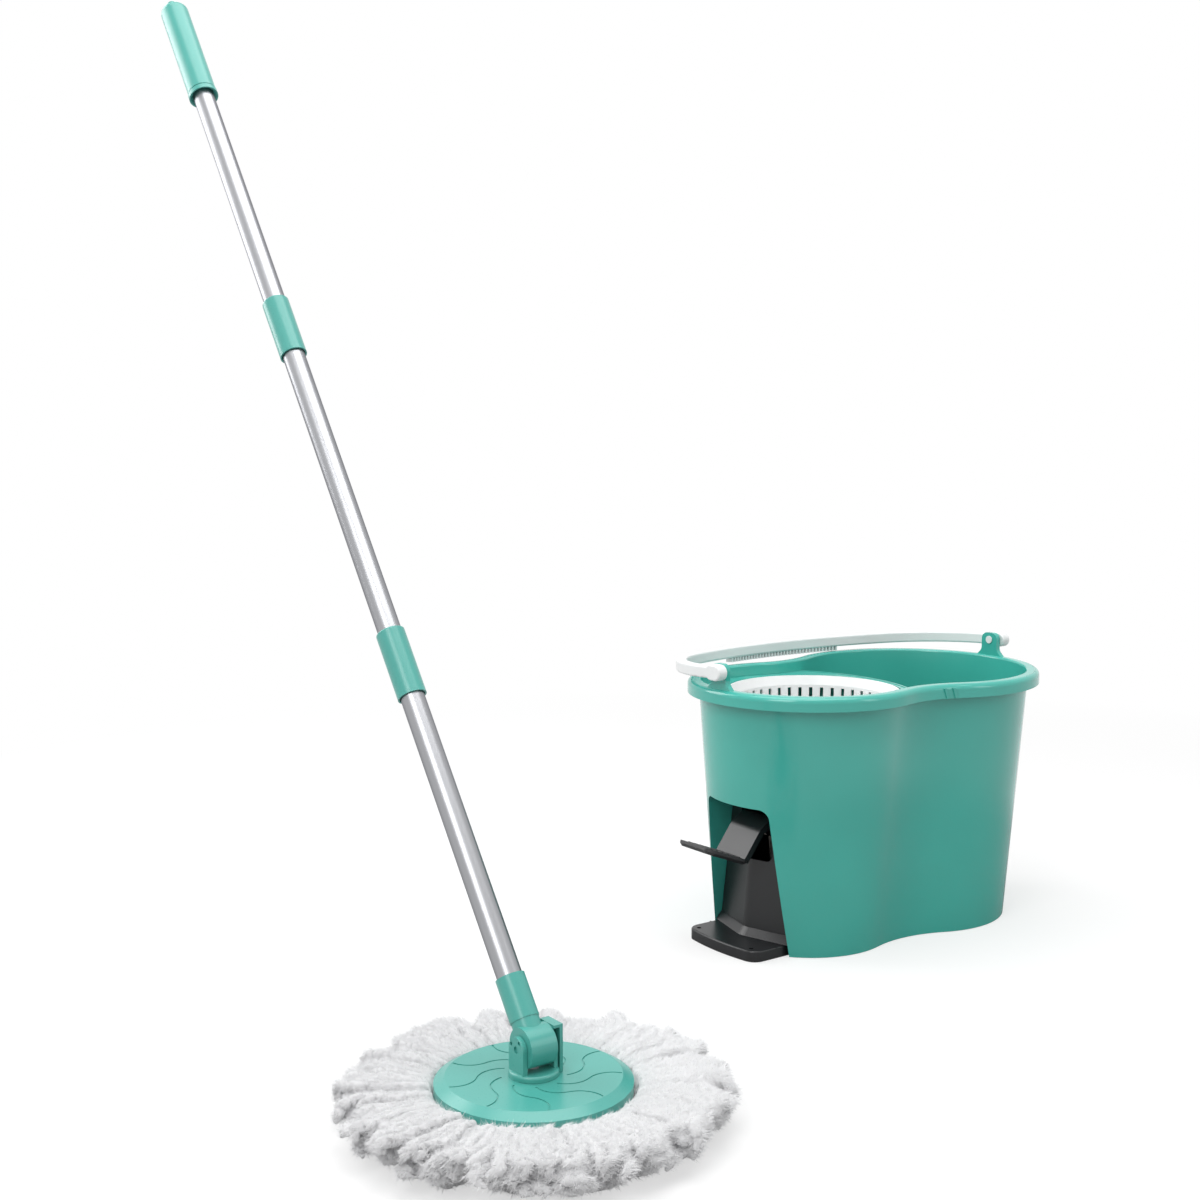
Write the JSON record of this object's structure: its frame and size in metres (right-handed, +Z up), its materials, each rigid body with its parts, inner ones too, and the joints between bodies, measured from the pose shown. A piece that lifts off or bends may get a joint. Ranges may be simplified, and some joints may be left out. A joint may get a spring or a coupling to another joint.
{
  "type": "spin mop",
  "caption": "Spin mop set: a yarn-headed mop with a tilting jointed handle, and a two-lobed bucket with a folding bail, a slotted spin basket and a foot pedal that drives it through gears.",
  "frame": {"origin": "on the floor under the middle of the bucket, halfway between the centres of its two lobes", "axes": "+Z up, +X along the bucket from the pedal end to the water lobe, +Y away from the standing mop"},
  "size_m": [1.0061, 0.8851, 1.0302],
  "materials": {
    "bucket_green": "satin",
    "mop_green": "satin",
    "white_plastic": "satin",
    "black_plastic": "satin",
    "acetal": "matte",
    "zinc_steel": "satin",
    "aluminium_tube": "satin",
    "seal_rubber": "matte",
    "microfibre_yarn": "matte"
  },
  "bodies": {
    "bucket": {"bucket_shell": "bucket_green", "splash_deck": "bucket_green", "drive_tower": "black_plastic", "base_plate": "black_plastic", "base_screws": "zinc_steel", "tower_screws": "zinc_steel", "pedal_axle": "zinc_steel", "return_spring": "zinc_steel", "lower_bush": "acetal", "upper_bush": "acetal", "shaft_seal": "seal_rubber", "thrust_washer": "acetal"},
    "pedal": {"foot_pedal": "black_plastic", "sector_gear": "acetal"},
    "cross_axle": {"cross_axle": "zinc_steel", "drive_pinion": "acetal", "crown_wheel": "acetal"},
    "clutch_pinion": {"crown_pinion": "acetal", "one_way_clutch": "zinc_steel"},
    "basket": {"output_shaft": "zinc_steel", "shaft_clip": "zinc_steel", "spin_basket": "white_plastic", "basket_nut": "white_plastic"},
    "bail": {"bail_handle": "white_plastic"},
    "yoke": {"swivel_yoke": "mop_green", "swivel_bolt": "zinc_steel", "swivel_washer": "zinc_steel", "tilt_pin": "zinc_steel"},
    "mop_head": {"mop_disc": "mop_green", "refill_ring": "white_plastic", "yarn_head": "microfibre_yarn"},
    "handle": {"knuckle_socket": "mop_green", "lower_tube": "aluminium_tube", "lower_joint_plug": "black_plastic", "lower_connector": "mop_green", "middle_tube": "aluminium_tube", "upper_joint_plug": "black_plastic", "upper_connector": "mop_green", "upper_tube": "aluminium_tube", "hand_grip": "mop_green"}
  },
  "joints": [
    {"name": "pedal_press", "type": "hinge", "parent": "bucket", "child": "pedal", "pos_m": [-0.115, 0, 0.12], "axis": [0, -1, 0], "range_deg": [0, 24], "stiffness_Nm_per_rad": 1.5, "springref_deg": -28.65, "deforming": ["return_spring"]},
    {"name": "cross_axle_turn", "type": "hinge", "parent": "bucket", "child": "cross_axle", "pos_m": [-0.072, 0, 0.0726], "axis": [0, -1, 0], "range_deg": [-105, 1]},
    {"name": "pinion_turn", "type": "hinge", "parent": "bucket", "child": "clutch_pinion", "pos_m": [-0.072, 0, 0.1], "axis": [0, 0, 1], "range_deg": [-313, 1]},
    {"name": "basket_spin", "type": "hinge", "parent": "bucket", "child": "basket", "pos_m": [-0.072, 0, 0.186], "axis": [0, 0, 1], "continuous": true},
    {"name": "bail_swing", "type": "hinge", "parent": "bucket", "child": "bail", "pos_m": [0, 0, 0.306], "axis": [1, 0, 0], "range_deg": [0, 185]},
    {"name": "mop_lift", "type": "slide", "parent": "bucket", "child": "yoke", "axis": [0, 0, 1], "range_m": [0, 0.4]},
    {"name": "disc_swivel", "type": "hinge", "parent": "yoke", "child": "mop_head", "pos_m": [-0.609, -0.248, 0.042], "axis": [0, 0, 1], "continuous": true},
    {"name": "handle_tilt", "type": "hinge", "parent": "yoke", "child": "handle", "pos_m": [-0.609, -0.248, 0.066], "axis": [1, 0, 0], "range_deg": [-43, 117]}
  ],
  "couplings": [
    {"joint": "cross_axle_turn", "follows": "pedal_press", "ratio": -4.3333},
    {"joint": "pinion_turn", "follows": "pedal_press", "ratio": -13}
  ]
}
